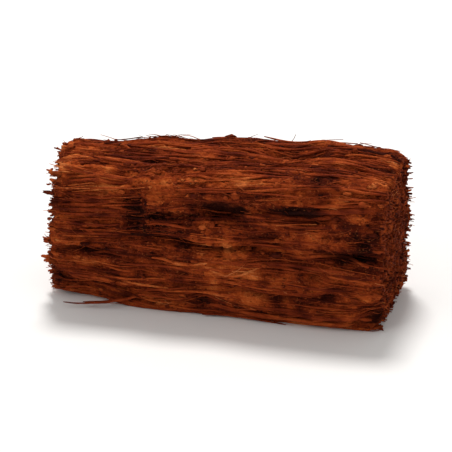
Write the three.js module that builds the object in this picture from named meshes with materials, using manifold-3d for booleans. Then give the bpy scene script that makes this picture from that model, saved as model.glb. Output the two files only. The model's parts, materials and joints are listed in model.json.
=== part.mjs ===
// One chip of coconut husk: a block chopped from the fibrous layer round the nut. The grain runs along X. The two
// ends are cut across the grain, and the four long sides are torn along it, so they are ribbed and cleft. Short
// ends of fibre stand out of both cut ends, and a few splinters lift from the top. The chip grew as one piece, so
// it is one solid. It lies on a small flat patch of its underside.
// Millimetres, +Z up. The origin is at the middle of the box round the chip, on the surface that it lies on.
import * as THREE from "three";
import { mergeVertices } from "three/addons/utils/BufferGeometryUtils.js";
import Module from "manifold-3d";

// ---- driving dimensions, mm ----
const LENGTH = 22.0; // along the grain, between the cut ends
const DEPTH = 7.6; // front to back
const HEIGHT = 10.3; // as it lies
const CORNER_POWER = 6.4; // how square the section is: 2 is an ellipse
const RIM_WEAR = 0.3; // how far the edge of a cut end is worn back
const LUMP = 0.3; // height of the broad unevenness of the sides
const RIB = 0.27; // height of the ribs that the torn fibre bundles leave
const RIB_PITCH = 1.2; // across the ribs
const RIB_RUN = 8.0; // how far a rib keeps its height along the grain
const CUT_ROUGH = 0.16; // unevenness of the cut ends
const SINK = 0.26; // how much of the underside is pressed flat
const TAPER_LEFT = 0.93; // the left end's height against the right end's
const GRAIN_RISE = 0.1; // slope of the grain towards the right, near the top

const AROUND = 108; // facets round the section
const ALONG = 42; // facets along the grain
const CUT_CELL = 0.62; // facets of a cut end
const SPARE = 1.4; // grain beyond each cut, which the cuts take off

// ---- clefts between bundles: the face, where along X, where across it, their size, and how deep they go ----
// across is measured up from the underside on the front and back, and from the front edge on the top and bottom.
const CLEFTS = [
  { face: "front", x: 0.5, across: 7.8, run: 2.3, width: 0.95, deep: 1.3 },
  { face: "front", x: 5.3, across: 8.25, run: 3.4, width: 0.5, deep: 0.85 },
  { face: "front", x: -5.2, across: 6.9, run: 0.9, width: 2.2, deep: 0.6 },
  { face: "front", x: -2.6, across: 7.1, run: 2.2, width: 0.4, deep: 0.5 },
  { face: "front", x: -0.6, across: 5.3, run: 5.6, width: 0.42, deep: 0.65 },
  { face: "front", x: 8.4, across: 5.55, run: 3.1, width: 0.65, deep: 0.85 },
  { face: "front", x: -8.6, across: 3.9, run: 3.4, width: 0.42, deep: 0.6 },
  { face: "front", x: 3.6, across: 2.3, run: 4.2, width: 0.45, deep: 0.5 },
  { face: "front", x: 6.3, across: 3.7, run: 0.75, width: 0.5, deep: 0.5 },
  { face: "front", x: 7.4, across: 2.8, run: 0.9, width: 0.5, deep: 0.5 },
  { face: "front", x: -2.4, across: 9.7, run: 0.7, width: 0.5, deep: 0.4 },
  { face: "front", x: -10.3, across: 1.8, run: 1.1, width: 0.7, deep: 0.7 },
  { face: "front", x: -0.8, across: 1.3, run: 1.6, width: 0.5, deep: 0.6 },
  { face: "front", x: -6.8, across: 0.9, run: 3.6, width: 0.8, deep: 0.4 },
  { face: "front", x: 10.4, across: 1.2, run: 1.6, width: 1.3, deep: 0.7 },
  { face: "top", x: -3.2, across: 2.6, run: 4.4, width: 0.5, deep: 0.7 },
  { face: "top", x: 5.2, across: 4.6, run: 4.8, width: 0.55, deep: 0.75 },
  { face: "top", x: -8.2, across: 5.2, run: 3.2, width: 0.6, deep: 0.6 },
  { face: "top", x: -9.6, across: 7.6, run: 6.6, width: 3.4, deep: 0.85 },
  { face: "top", x: -6.3, across: 0.5, run: 1.5, width: 0.7, deep: 0.6 },
  { face: "back", x: -4.6, across: 7.2, run: 5.2, width: 0.5, deep: 0.85 },
  { face: "back", x: 5.4, across: 5.4, run: 4.4, width: 0.75, deep: 1.1 },
  { face: "back", x: -1.0, across: 3.0, run: 4.8, width: 0.5, deep: 0.8 },
  { face: "back", x: 8.0, across: 8.8, run: 2.8, width: 0.6, deep: 0.8 },
  { face: "back", x: -9.0, across: 4.5, run: 2.4, width: 0.8, deep: 0.7 },
];

// ---- ends of fibre that stand out of the cut ends: end, across (Y), up (Z), thickness, length out, lean ----
const STUBS = [
  [-1, -3.2, 9.0, 0.46, 0.6, 0.1, 0.3],
  [-1, -1.6, 9.1, 0.5, 0.45, 0.0, 0.35],
  [-1, 0.4, 8.8, 0.42, 0.65, 0.1, 0.2],
  [-1, 2.2, 7.9, 0.44, 0.4, 0.25, 0.1],
  [-1, -3.3, 6.9, 0.4, 0.35, -0.2, 0.1],
  [-1, -3.3, 4.4, 0.46, 0.6, -0.25, 0.05],
  [-1, -3.1, 2.9, 0.5, 0.7, -0.2, -0.1],
  [-1, -2.2, 1.7, 0.42, 0.55, -0.1, -0.15],
  [-1, 0.6, 1.5, 0.44, 0.5, 0.1, -0.1],
  [-1, 2.7, 2.6, 0.4, 0.6, 0.25, -0.05],
  [-1, 3.0, 5.4, 0.46, 0.45, 0.3, 0.1],
  [-1, 0.9, 5.2, 0.4, 0.4, 0.1, 0.15],
  [1, -3.1, 9.2, 0.42, 0.2, 0.05, 0.2],
  [1, -1.0, 9.6, 0.46, 0.2, 0.0, 0.25],
  [1, 1.8, 9.3, 0.42, 0.3, 0.15, 0.2],
  [1, -3.3, 5.6, 0.4, 0.15, -0.2, 0.0],
  [1, -2.9, 2.0, 0.44, 0.2, -0.15, -0.1],
  [1, 0.8, 1.2, 0.4, 0.2, 0.05, 0.05],
  [1, 3.1, 3.4, 0.44, 0.3, 0.3, -0.05],
  [1, 3.1, 7.0, 0.4, 0.3, 0.3, 0.1],
];

// ---- splinters lying on the sides, with a tip that lifts: points along each, and thickness ----
const SPLINTERS = [
  { at: [[-4.6, -2.8, 8.8], [-7.2, -3.05, 9.15], [-9.3, -3.2, 9.5], [-10.7, -3.3, 9.9]], thick: 0.48 },
  { at: [[-2.2, -1.3, 9.0], [-4.9, -1.6, 9.35], [-7.4, -2.0, 9.65], [-9.1, -2.1, 10.1]], thick: 0.44 },
  { at: [[1.5, 1.6, 9.3], [-1.6, 1.4, 9.6], [-4.2, 1.0, 9.85], [-5.6, 0.7, 10.25]], thick: 0.4 },
  { at: [[-4.4, -3.2, 1.3], [-6.4, -3.7, 0.8], [-8.2, -3.95, 0.55], [-9.9, -4.1, 0.48]], thick: 0.36 },
  { at: [[4.4, 3.4, 7.6], [6.6, 3.7, 7.7], [8.6, 3.95, 8.0], [10.2, 4.25, 8.5]], thick: 0.44 },
];

// ---- even noise from whole-number points, so that the same chip comes out each time ----
function hash(i, j, k) {
  let h = (i * 374761393 + j * 668265263 + k * 2147483647) | 0;
  h = Math.imul(h ^ (h >>> 13), 1274126177);
  h = Math.imul(h ^ (h >>> 16), 2246822519);
  return ((h ^ (h >>> 15)) >>> 0) / 4294967295;
}
const ease = (t) => t * t * t * (t * (t * 6 - 15) + 10);
// round repeats every `period` cells, so that the noise closes round the section
function noise(round, along, period, seed) {
  const i = Math.floor(round),
    j = Math.floor(along);
  const u = ease(round - i),
    v = ease(along - j);
  const wrap = (n) => ((n % period) + period) % period;
  const a = hash(wrap(i), j, seed),
    b = hash(wrap(i + 1), j, seed);
  const c = hash(wrap(i), j + 1, seed),
    d = hash(wrap(i + 1), j + 1, seed);
  return 2 * (a + (b - a) * u + (c - a) * v + (a - b - c + d) * u * v) - 1;
}

const bell = (t) => (Math.abs(t) >= 1 ? 0 : (1 - t * t) ** 2);
const step = (a, b, t) => {
  const u = Math.min(1, Math.max(0, (t - a) / (b - a)));
  return u * u * (3 - 2 * u);
};
const ribs = Math.round((2 * (DEPTH + HEIGHT) * 0.95) / RIB_PITCH);

// The left end is lower than the right, and its underside stays on the ground.
const taper = (x) => TAPER_LEFT + (1 - TAPER_LEFT) * step(-0.5, 0.1, x / LENGTH);
const middle = (x) => (HEIGHT / 2) * taper(x);

// The grain rises a little to the right in the upper part of the front and back.
const rise = (z) => GRAIN_RISE * step(0.45, 0.85, z / HEIGHT);

// How far the clefts have taken the surface in, at a point of a side.
function cleftAt(x, y, z) {
  let deep = 0;
  for (const c of CLEFTS) {
    const on =
      c.face === "front" ? step(0.28, 0.4, -y / DEPTH) : c.face === "back" ? step(0.28, 0.4, y / DEPTH) : step(0.8, 0.9, z / HEIGHT);
    const across = c.face === "top" ? y + DEPTH / 2 : z - rise(c.across) * (x - c.x);
    const bend = 0.2 * Math.sin((x - c.x) * 0.9 + c.across * 2);
    deep += on * c.deep * bell((x - c.x) / c.run) * bell((across - c.across - bend) / c.width);
  }
  return deep;
}

// The side of the chip: its distance from the middle line, for a place along the grain and an angle round it.
function sideRadius(x, angle) {
  const s = x / LENGTH + 0.5; // 0 at the left end, 1 at the right
  const halfY = (DEPTH / 2) * (1 + 0.045 * noise(0, s * 3.1, 1, 11));
  const halfZ = (HEIGHT / 2) * taper(x);
  const power = CORNER_POWER + 2.2 * noise((angle / Math.PI) * 2, s * 2.2, 4, 13);
  const c = Math.abs(Math.cos(angle)) / halfY,
    d = Math.abs(Math.sin(angle)) / halfZ;
  let r = (c ** power + d ** power) ** (-1 / power);
  const turn = angle / (2 * Math.PI) + 0.5;
  const facing = 2 * step(-0.75, 0.75, Math.cos(angle)) - 1; // -1 on the front, 1 on the back
  const grain = turn - (facing * rise(r * Math.sin(angle) + middle(x)) * x) / (1.85 * (DEPTH + HEIGHT));
  const wander = 0.35 * noise(turn * 6, (x / LENGTH) * 4, 6, 21);
  const rib = noise(grain * ribs + wander, x / RIB_RUN, ribs, 22);
  const fine = noise(grain * 2 * ribs + 2 * wander, x / (RIB_RUN * 0.6), 2 * ribs, 27);
  const lump = noise(turn * 9, x / 3.4, 9, 23) * 0.65 + noise(turn * 5, x / 7.5, 5, 24) * 0.6;
  const coarse = noise(turn * 14, x / 2.1, 14, 25) * 0.3;
  const under = step(0.62, 0.95, -Math.sin(angle) * 1.12); // the side that it lies on is pressed nearly flat
  r += (1 - 0.35 * under) * RIB * (1 - 1.5 * Math.abs(rib) - 0.6 * Math.abs(fine));
  r += (1 - 0.85 * under) * LUMP * (lump + coarse) - 0.1;
  r -= cleftAt(x, r * Math.cos(angle), r * Math.sin(angle) + middle(x));
  // the lower left edge at the front has crumbled away from the ground
  const low = step(0.2, 0.9, -Math.sin(angle)) * step(0.05, 0.6, -Math.cos(angle));
  r -= 0.55 * low * bell((x + 9.0) / 4.4);
  const fromEnd = LENGTH / 2 - Math.abs(x);
  r -= RIM_WEAR * Math.max(0, 1 - Math.max(0, fromEnd) / 0.7) ** 2;
  return r;
}

// Where a cut end lies: the blade left each end a little out of square, and the pith crumbled behind it.
function cutEnd(sign, y, z) {
  const up = z - HEIGHT / 2;
  const slant = sign < 0 ? 0.035 * up - 0.03 * y : (up > 0 ? -0.02 : 0.035) * up + 0.04 * y;
  const seed = sign < 0 ? 31 : 32;
  const rough = noise(y / 1.7 + 40, z / 1.7 + 40, 1000, seed) + 0.6 * noise(y / 0.75 + 80, z / 0.75 + 80, 1000, seed + 4);
  return sign * (LENGTH / 2 + CUT_ROUGH * rough - 0.1) + slant;
}

// ---- the block before it is cut: a turned profile, pushed into the chip's section ----
function blockGeometry() {
  const reach = LENGTH + 2 * SPARE;
  const profile = [new THREE.Vector2(0, -reach / 2)];
  for (let i = 0; i <= ALONG; i++) profile.push(new THREE.Vector2(1, (i / ALONG - 0.5) * reach));
  profile.push(new THREE.Vector2(0, reach / 2));
  const turned = new THREE.LatheGeometry(profile, AROUND);
  turned.deleteAttribute("normal");
  turned.deleteAttribute("uv");
  const g = mergeVertices(turned, 1e-4);
  const p = g.attributes.position;
  for (let i = 0; i < p.count; i++) {
    const a = p.getX(i),
      x = p.getY(i),
      b = p.getZ(i);
    const share = Math.min(1, Math.hypot(a, b)),
      angle = Math.atan2(b, a);
    const r = share * sideRadius(x, angle);
    p.setXYZ(i, x, r * Math.cos(angle), r * Math.sin(angle) + middle(x));
  }
  return g;
}

// ---- what a cut takes off: a block whose near face is the uneven face that the blade left ----
function offcutGeometry(sign) {
  const thick = 4,
    wide = DEPTH + 4,
    tall = HEIGHT + 4;
  const g = new THREE.BoxGeometry(thick, wide, tall, 1, Math.round(wide / CUT_CELL), Math.round(tall / CUT_CELL));
  const p = g.attributes.position;
  for (let i = 0; i < p.count; i++) {
    const y = p.getY(i),
      z = p.getZ(i) + HEIGHT / 2;
    const nearFace = p.getX(i) * sign < 0;
    p.setXYZ(i, nearFace ? cutEnd(sign, y, z) : sign * (LENGTH / 2 + thick), y, z);
  }
  return g;
}

const wasm = await Module();
wasm.setup();

function solidOf(geometry) {
  const bare = geometry.clone();
  bare.deleteAttribute("normal");
  bare.deleteAttribute("uv");
  const g = mergeVertices(bare, 1e-4);
  const made = new wasm.Manifold(
    new wasm.Mesh({
      numProp: 3,
      vertProperties: new Float32Array(g.attributes.position.array),
      triVerts: new Uint32Array(g.index.array),
    }),
  );
  if (made.volume() >= 0) return made;
  const flipped = new Uint32Array(g.index.array);
  for (let i = 0; i < flipped.length; i += 3) [flipped[i + 1], flipped[i + 2]] = [flipped[i + 2], flipped[i + 1]];
  return new wasm.Manifold(
    new wasm.Mesh({ numProp: 3, vertProperties: new Float32Array(g.attributes.position.array), triVerts: flipped }),
  );
}

// A short end of fibre, rooted in the block, leaning and bent a little, and thinner at its tip.
function stubGeometry([sign, y, z, thick, out, leanY, leanZ]) {
  const rooted = 1.2;
  const g = new THREE.CylinderGeometry(thick * 0.28, thick / 2, rooted + out, 6, 3);
  g.translate(0, (rooted + out) / 2 - rooted, 0);
  const p = g.attributes.position;
  for (let i = 0; i < p.count; i++) {
    const past = Math.max(0, p.getY(i)) / out;
    p.setX(i, p.getX(i) + 0.22 * out * past * past * Math.cos(9 * y + 5 * z));
    p.setZ(i, p.getZ(i) + 0.22 * out * past * past * Math.sin(7 * y - 4 * z));
  }
  const direction = new THREE.Vector3(sign, leanY, leanZ).normalize();
  g.applyQuaternion(new THREE.Quaternion().setFromUnitVectors(new THREE.Vector3(0, 1, 0), direction));
  g.translate((sign * LENGTH) / 2 - sign * 0.2, y, z);
  return g;
}

function splinterGeometry({ at, thick }) {
  const path = new THREE.CatmullRomCurve3(at.map((p) => new THREE.Vector3(...p)));
  const section = new THREE.Shape();
  for (let i = 0; i < 6; i++) {
    const a = (i / 6) * 2 * Math.PI;
    section[i ? "lineTo" : "moveTo"]((thick / 2) * Math.cos(a), (thick / 2) * 0.8 * Math.sin(a));
  }
  section.closePath();
  return new THREE.ExtrudeGeometry(section, { steps: 9, bevelEnabled: false, extrudePath: path });
}

let chip = solidOf(blockGeometry()).subtract(solidOf(offcutGeometry(-1))).subtract(solidOf(offcutGeometry(1)));
for (const stub of STUBS) chip = chip.add(solidOf(stubGeometry(stub)));
for (const splinter of SPLINTERS) chip = chip.add(solidOf(splinterGeometry(splinter)));

// The chip rests where its lowest ribs are pressed flat.
const found = chip.boundingBox();
const floorAt = found.min[2] + SINK;
const below = new THREE.BoxGeometry(4 * LENGTH, 4 * DEPTH, 10);
below.translate(0, 0, floorAt - 5);
chip = chip.subtract(solidOf(below));
const pieces = chip.decompose();
chip = pieces.reduce((a, b) => (a.volume() > b.volume() ? a : b));

const box = chip.boundingBox();
const middleX = (box.min[0] + box.max[0]) / 2,
  middleY = (box.min[1] + box.max[1]) / 2;
const mesh = chip.getMesh();
const placed = new Float32Array(mesh.numVert * 3);
for (let i = 0; i < mesh.numVert; i++) {
  placed[3 * i] = mesh.vertProperties[i * mesh.numProp] - middleX;
  placed[3 * i + 1] = mesh.vertProperties[i * mesh.numProp + 1] - middleY;
  placed[3 * i + 2] = mesh.vertProperties[i * mesh.numProp + 2] - floorAt;
}
const geometry = new THREE.BufferGeometry();
geometry.setAttribute("position", new THREE.BufferAttribute(placed, 3));
geometry.setIndex(new THREE.BufferAttribute(new Uint32Array(mesh.triVerts), 1));
geometry.computeVertexNormals();

const husk = new THREE.MeshStandardMaterial({ color: 0x6a2f17, roughness: 0.92, metalness: 0 });
const husk_chip = new THREE.Mesh(geometry, husk);
husk_chip.name = "husk_chip";

const chipGroup = new THREE.Group();
chipGroup.add(husk_chip);
export default chipGroup;
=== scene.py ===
import json
import math

import bpy
import numpy as np
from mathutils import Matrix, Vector

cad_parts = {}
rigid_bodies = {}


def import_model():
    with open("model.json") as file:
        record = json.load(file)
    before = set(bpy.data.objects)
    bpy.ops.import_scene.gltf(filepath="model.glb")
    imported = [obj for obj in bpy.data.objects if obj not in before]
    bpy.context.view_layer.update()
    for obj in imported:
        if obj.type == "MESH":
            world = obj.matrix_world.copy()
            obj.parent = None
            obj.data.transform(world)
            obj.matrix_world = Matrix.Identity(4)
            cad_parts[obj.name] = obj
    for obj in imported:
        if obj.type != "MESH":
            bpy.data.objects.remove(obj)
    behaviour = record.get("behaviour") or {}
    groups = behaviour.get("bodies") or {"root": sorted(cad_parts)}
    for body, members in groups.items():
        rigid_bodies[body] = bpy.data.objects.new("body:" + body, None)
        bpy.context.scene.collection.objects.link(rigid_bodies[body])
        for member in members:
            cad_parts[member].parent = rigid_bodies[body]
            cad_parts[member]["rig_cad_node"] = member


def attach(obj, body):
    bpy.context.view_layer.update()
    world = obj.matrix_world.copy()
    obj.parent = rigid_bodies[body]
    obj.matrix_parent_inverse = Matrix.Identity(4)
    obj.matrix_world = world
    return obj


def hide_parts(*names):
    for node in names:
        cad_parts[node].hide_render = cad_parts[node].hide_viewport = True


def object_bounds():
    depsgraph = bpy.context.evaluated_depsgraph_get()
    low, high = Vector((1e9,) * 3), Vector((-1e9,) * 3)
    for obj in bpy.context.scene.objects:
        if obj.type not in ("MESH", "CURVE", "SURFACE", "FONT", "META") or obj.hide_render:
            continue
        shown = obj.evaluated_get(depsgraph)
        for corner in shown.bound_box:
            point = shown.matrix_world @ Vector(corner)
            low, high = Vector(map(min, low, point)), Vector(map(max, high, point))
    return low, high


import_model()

cad_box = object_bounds()

# ---------------------------------------------------------------- the chip's shape, as the solid has it
LENGTH, DEPTH, HEIGHT = 22.0, 7.6, 10.3
CORNER_POWER, RIM_WEAR, LUMP = 6.4, 0.3, 0.3
RIB, RIB_PITCH, RIB_RUN = 0.27, 1.2, 8.0
CUT_ROUGH, TAPER_LEFT, GRAIN_RISE = 0.16, 0.93, 0.1
RIBS = 28
OFFSET = np.array([-0.15279963, 0.06258798, 0.19817209])  # where the row's origin lies in the block's coordinates
FLOOR = OFFSET[2]

CLEFTS = [  # face, x, across, run, width, deep
    ("front", 0.5, 7.8, 2.3, 0.95, 1.3),
    ("front", 5.3, 8.25, 3.4, 0.5, 0.85),
    ("front", -5.2, 6.9, 0.9, 2.2, 0.6),
    ("front", -2.6, 7.1, 2.2, 0.4, 0.5),
    ("front", -0.6, 5.3, 5.6, 0.42, 0.65),
    ("front", 8.4, 5.55, 3.1, 0.65, 0.85),
    ("front", -8.6, 3.9, 3.4, 0.42, 0.6),
    ("front", 3.6, 2.3, 4.2, 0.45, 0.5),
    ("front", 6.3, 3.7, 0.75, 0.5, 0.5),
    ("front", 7.4, 2.8, 0.9, 0.5, 0.5),
    ("front", -2.4, 9.7, 0.7, 0.5, 0.4),
    ("front", -10.3, 1.8, 1.1, 0.7, 0.7),
    ("front", -0.8, 1.3, 1.6, 0.5, 0.6),
    ("front", -6.8, 0.9, 3.6, 0.8, 0.4),
    ("front", 10.4, 1.2, 1.6, 1.3, 0.7),
    ("top", -3.2, 2.6, 4.4, 0.5, 0.7),
    ("top", 5.2, 4.6, 4.8, 0.55, 0.75),
    ("top", -8.2, 5.2, 3.2, 0.6, 0.6),
    ("top", -9.6, 7.6, 6.6, 3.4, 0.85),
    ("top", -6.3, 0.5, 1.5, 0.7, 0.6),
    ("back", -4.6, 7.2, 5.2, 0.5, 0.85),
    ("back", 5.4, 5.4, 4.4, 0.75, 1.1),
    ("back", -1.0, 3.0, 4.8, 0.5, 0.8),
    ("back", 8.0, 8.8, 2.8, 0.6, 0.8),
    ("back", -9.0, 4.5, 2.4, 0.8, 0.7),
]
STUBS = [  # end, y, z, thickness, out, lean in y, lean in z
    (-1, -3.2, 9.0, 0.46, 0.6, 0.1, 0.3),
    (-1, -1.6, 9.1, 0.5, 0.45, 0.0, 0.35),
    (-1, 0.4, 8.8, 0.42, 0.65, 0.1, 0.2),
    (-1, 2.2, 7.9, 0.44, 0.4, 0.25, 0.1),
    (-1, -3.3, 6.9, 0.4, 0.35, -0.2, 0.1),
    (-1, -3.3, 4.4, 0.46, 0.6, -0.25, 0.05),
    (-1, -3.1, 2.9, 0.5, 0.7, -0.2, -0.1),
    (-1, -2.2, 1.7, 0.42, 0.55, -0.1, -0.15),
    (-1, 0.6, 1.5, 0.44, 0.5, 0.1, -0.1),
    (-1, 2.7, 2.6, 0.4, 0.6, 0.25, -0.05),
    (-1, 3.0, 5.4, 0.46, 0.45, 0.3, 0.1),
    (-1, 0.9, 5.2, 0.4, 0.4, 0.1, 0.15),
    (1, -3.1, 9.2, 0.42, 0.2, 0.05, 0.2),
    (1, -1.0, 9.6, 0.46, 0.2, 0.0, 0.25),
    (1, 1.8, 9.3, 0.42, 0.3, 0.15, 0.2),
    (1, -3.3, 5.6, 0.4, 0.15, -0.2, 0.0),
    (1, -2.9, 2.0, 0.44, 0.2, -0.15, -0.1),
    (1, 0.8, 1.2, 0.4, 0.2, 0.05, 0.05),
    (1, 3.1, 3.4, 0.44, 0.3, 0.3, -0.05),
    (1, 3.1, 7.0, 0.4, 0.3, 0.3, 0.1),
]
SPLINTERS = [
    ([[-4.6, -2.8, 8.8], [-7.2, -3.05, 9.15], [-9.3, -3.2, 9.5], [-10.7, -3.3, 9.9]], 0.48),
    ([[-2.2, -1.3, 9.0], [-4.9, -1.6, 9.35], [-7.4, -2.0, 9.65], [-9.1, -2.1, 10.1]], 0.44),
    ([[1.5, 1.6, 9.3], [-1.6, 1.4, 9.6], [-4.2, 1.0, 9.85], [-5.6, 0.7, 10.25]], 0.4),
    ([[-4.4, -3.2, 1.3], [-6.4, -3.7, 0.8], [-8.2, -3.95, 0.55], [-9.9, -4.1, 0.48]], 0.36),
    ([[4.4, 3.4, 7.6], [6.6, 3.7, 7.7], [8.6, 3.95, 8.0], [10.2, 4.25, 8.5]], 0.44),
]


def hash01(i, j, k):
    h = (np.asarray(i, np.int64) * 374761393 + np.asarray(j, np.int64) * 668265263 + np.asarray(k, np.int64) * 2147483647) & 0xFFFFFFFF
    h = h.astype(np.uint64)
    m = np.uint64(0xFFFFFFFF)
    h = ((h ^ (h >> np.uint64(13))) * np.uint64(1274126177)) & m
    h = ((h ^ (h >> np.uint64(16))) * np.uint64(2246822519)) & m
    return (h ^ (h >> np.uint64(15))).astype(np.float64) / 4294967295.0


def ease(t):
    return t * t * t * (t * (t * 6 - 15) + 10)


def noise2(around, along, period, seed):
    around, along = np.broadcast_arrays(np.asarray(around, float), np.asarray(along, float))
    i, j = np.floor(around), np.floor(along)
    u, v = ease(around - i), ease(along - j)
    i0, i1 = np.mod(i, period), np.mod(i + 1, period)
    a, b = hash01(i0, j, seed), hash01(i1, j, seed)
    c, d = hash01(i0, j + 1, seed), hash01(i1, j + 1, seed)
    return 2 * (a + (b - a) * u + (c - a) * v + (a - b - c + d) * u * v) - 1


def noise3(p, seed):
    """Even noise at points (n, 3), from -1 to 1."""
    q = np.floor(p)
    f = ease(p - q)
    total = 0
    for dx in (0, 1):
        for dy in (0, 1):
            for dz in (0, 1):
                h = hash01(q[:, 0] + dx + 7919 * (q[:, 2] + dz), q[:, 1] + dy, seed)
                w = (f[:, 0] if dx else 1 - f[:, 0]) * (f[:, 1] if dy else 1 - f[:, 1]) * (f[:, 2] if dz else 1 - f[:, 2])
                total = total + h * w
    return 2 * total - 1


def cells3(p, seed):
    """Distance to the nearest and the second nearest of scattered points, one in each unit cell."""
    q = np.floor(p)
    first = np.full(len(p), 9.0)
    second = np.full(len(p), 9.0)
    for dx in (-1, 0, 1):
        for dy in (-1, 0, 1):
            for dz in (-1, 0, 1):
                cx, cy, cz = q[:, 0] + dx, q[:, 1] + dy, q[:, 2] + dz
                k = cx + 7919 * cz
                d = (
                    (cx + hash01(k, cy, seed) - p[:, 0]) ** 2
                    + (cy + hash01(k, cy, seed + 1) - p[:, 1]) ** 2
                    + (cz + hash01(k, cy, seed + 2) - p[:, 2]) ** 2
                )
                second = np.minimum(second, np.maximum(first, d))
                first = np.minimum(first, d)
    return np.sqrt(first), np.sqrt(second)


def bell(t):
    t = np.abs(t)
    return np.where(t >= 1, 0.0, (1 - t * t) ** 2)


def step(a, b, t):
    u = np.clip((t - a) / (b - a), 0, 1)
    return u * u * (3 - 2 * u)


def taper(x):
    return TAPER_LEFT + (1 - TAPER_LEFT) * step(-0.5, 0.1, x / LENGTH)


def middle(x):
    return (HEIGHT / 2) * taper(x)


def rise(z):
    """The slope of the grain towards the right, on the front and back."""
    return GRAIN_RISE * step(0.45, 0.85, z / HEIGHT)


def cleft_at(x, y, z):
    deep = 0
    for face, cx, across, run, width, depth in CLEFTS:
        on = step(0.28, 0.4, -y / DEPTH) if face == "front" else step(0.28, 0.4, y / DEPTH) if face == "back" else step(0.8, 0.9, z / HEIGHT)
        at = y + DEPTH / 2 if face == "top" else z - float(rise(across)) * (x - cx)
        bend = 0.2 * np.sin((x - cx) * 0.9 + across * 2)
        deep = deep + on * depth * bell((x - cx) / run) * bell((at - across - bend) / width)
    return deep


def side_radius(x, angle):
    x, angle = np.broadcast_arrays(np.asarray(x, float), np.asarray(angle, float))
    s = x / LENGTH + 0.5
    half_y = (DEPTH / 2) * (1 + 0.045 * noise2(0, s * 3.1, 1, 11))
    half_z = (HEIGHT / 2) * taper(x)
    power = CORNER_POWER + 2.2 * noise2(angle / math.pi * 2, s * 2.2, 4, 13)
    c, d = np.abs(np.cos(angle)) / half_y, np.abs(np.sin(angle)) / half_z
    r = (c**power + d**power) ** (-1 / power)
    turn = angle / (2 * math.pi) + 0.5
    facing = 2 * step(-0.75, 0.75, np.cos(angle)) - 1
    grain = turn - facing * rise(r * np.sin(angle) + middle(x)) * x / (1.85 * (DEPTH + HEIGHT))
    wander = 0.35 * noise2(turn * 6, x / LENGTH * 4, 6, 21)
    rib = noise2(grain * RIBS + wander, x / RIB_RUN, RIBS, 22)
    fine = noise2(grain * 2 * RIBS + 2 * wander, x / (RIB_RUN * 0.6), 2 * RIBS, 27)
    lump = noise2(turn * 9, x / 3.4, 9, 23) * 0.65 + noise2(turn * 5, x / 7.5, 5, 24) * 0.6
    coarse = noise2(turn * 14, x / 2.1, 14, 25) * 0.3
    under = step(0.62, 0.95, -np.sin(angle) * 1.12)
    r = r + (1 - 0.35 * under) * RIB * (1 - 1.5 * np.abs(rib) - 0.6 * np.abs(fine))
    r = r + (1 - 0.85 * under) * LUMP * (lump + coarse) - 0.1
    r = r - cleft_at(x, r * np.cos(angle), r * np.sin(angle) + middle(x))
    low = step(0.2, 0.9, -np.sin(angle)) * step(0.05, 0.6, -np.cos(angle))
    r = r - 0.55 * low * bell((x + 9.0) / 4.4)
    from_end = LENGTH / 2 - np.abs(x)
    r = r - RIM_WEAR * np.maximum(0, 1 - np.maximum(0, from_end) / 0.7) ** 2
    return r


def cut_end(sign, y, z):
    y, z = np.broadcast_arrays(np.asarray(y, float), np.asarray(z, float))
    up = z - HEIGHT / 2
    slant = 0.035 * up - 0.03 * y if sign < 0 else np.where(up > 0, -0.02, 0.035) * up + 0.04 * y
    seed = 31 if sign < 0 else 32
    rough = noise2(y / 1.7 + 40, z / 1.7 + 40, 1000, seed) + 0.6 * noise2(y / 0.75 + 80, z / 0.75 + 80, 1000, seed + 4)
    return sign * (LENGTH / 2 + CUT_ROUGH * rough - 0.1) + slant


# ---------------------------------------------------------------- places on the sides, by the way round
# The way round is a length in millimetres, so that fibres are spread evenly: 0 is the middle of the front.
_turns = np.linspace(-math.pi, math.pi, 2881)
_c, _d = np.abs(np.cos(_turns)) / (DEPTH / 2), np.abs(np.sin(_turns)) / (HEIGHT / 2)
_r = (_c**5.0 + _d**5.0) ** -0.2
_way = np.concatenate([[0], np.cumsum(np.hypot(np.diff(_r * np.cos(_turns)), np.diff(_r * np.sin(_turns))))])
AROUND = _way[-1]  # about 33 mm


def angle_of(way):
    return np.interp(np.mod(way, AROUND), _way, _turns)


def way_of(angle):
    return np.interp(np.mod(angle + math.pi, 2 * math.pi) - math.pi, _turns, _way)


# the side's radius on a fine grid, so that a place on it is looked up and not worked out again
GX, GA = 0.08, 2 * math.pi / 900
_gx = np.arange(-12.6, 12.6 + GX, GX)
_ga = -math.pi + GA * np.arange(901)
_grid = side_radius(_gx[:, None], _ga[None, :])


def soften(grid, across, along):
    """The grid, smoothed round the section and along the grain by so many millimetres."""
    out = grid[:, :-1]
    for axis, width, cell in ((0, along, GX), (1, across, GA * 4.6)):
        n = int(round(width / cell))
        if n < 1:
            continue
        w = np.hanning(2 * n + 3)[1:-1]
        w /= w.sum()
        mode = "edge" if axis == 0 else "wrap"
        padded = np.pad(out, [(n, n) if a == axis else (0, 0) for a in (0, 1)], mode=mode)
        total = 0
        for k, wk in enumerate(w):
            total = total + wk * (padded[k : k + out.shape[0]] if axis == 0 else padded[:, k : k + out.shape[1]])
        out = total
    return np.concatenate([out, out[:, :1]], axis=1)


_soft = soften(_grid, 0.25, 0.9)


def look_up(grid, x, angle):
    fx = np.clip((x - _gx[0]) / GX, 0, len(_gx) - 1.001)
    fa = (np.mod(angle + math.pi, 2 * math.pi)) / GA
    i, j = np.floor(fx).astype(int), np.minimum(np.floor(fa).astype(int), 899)
    u, v = fx - i, fa - j
    return grid[i, j] * (1 - u) * (1 - v) + grid[i + 1, j] * u * (1 - v) + grid[i, j + 1] * (1 - u) * v + grid[i + 1, j + 1] * u * v


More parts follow.
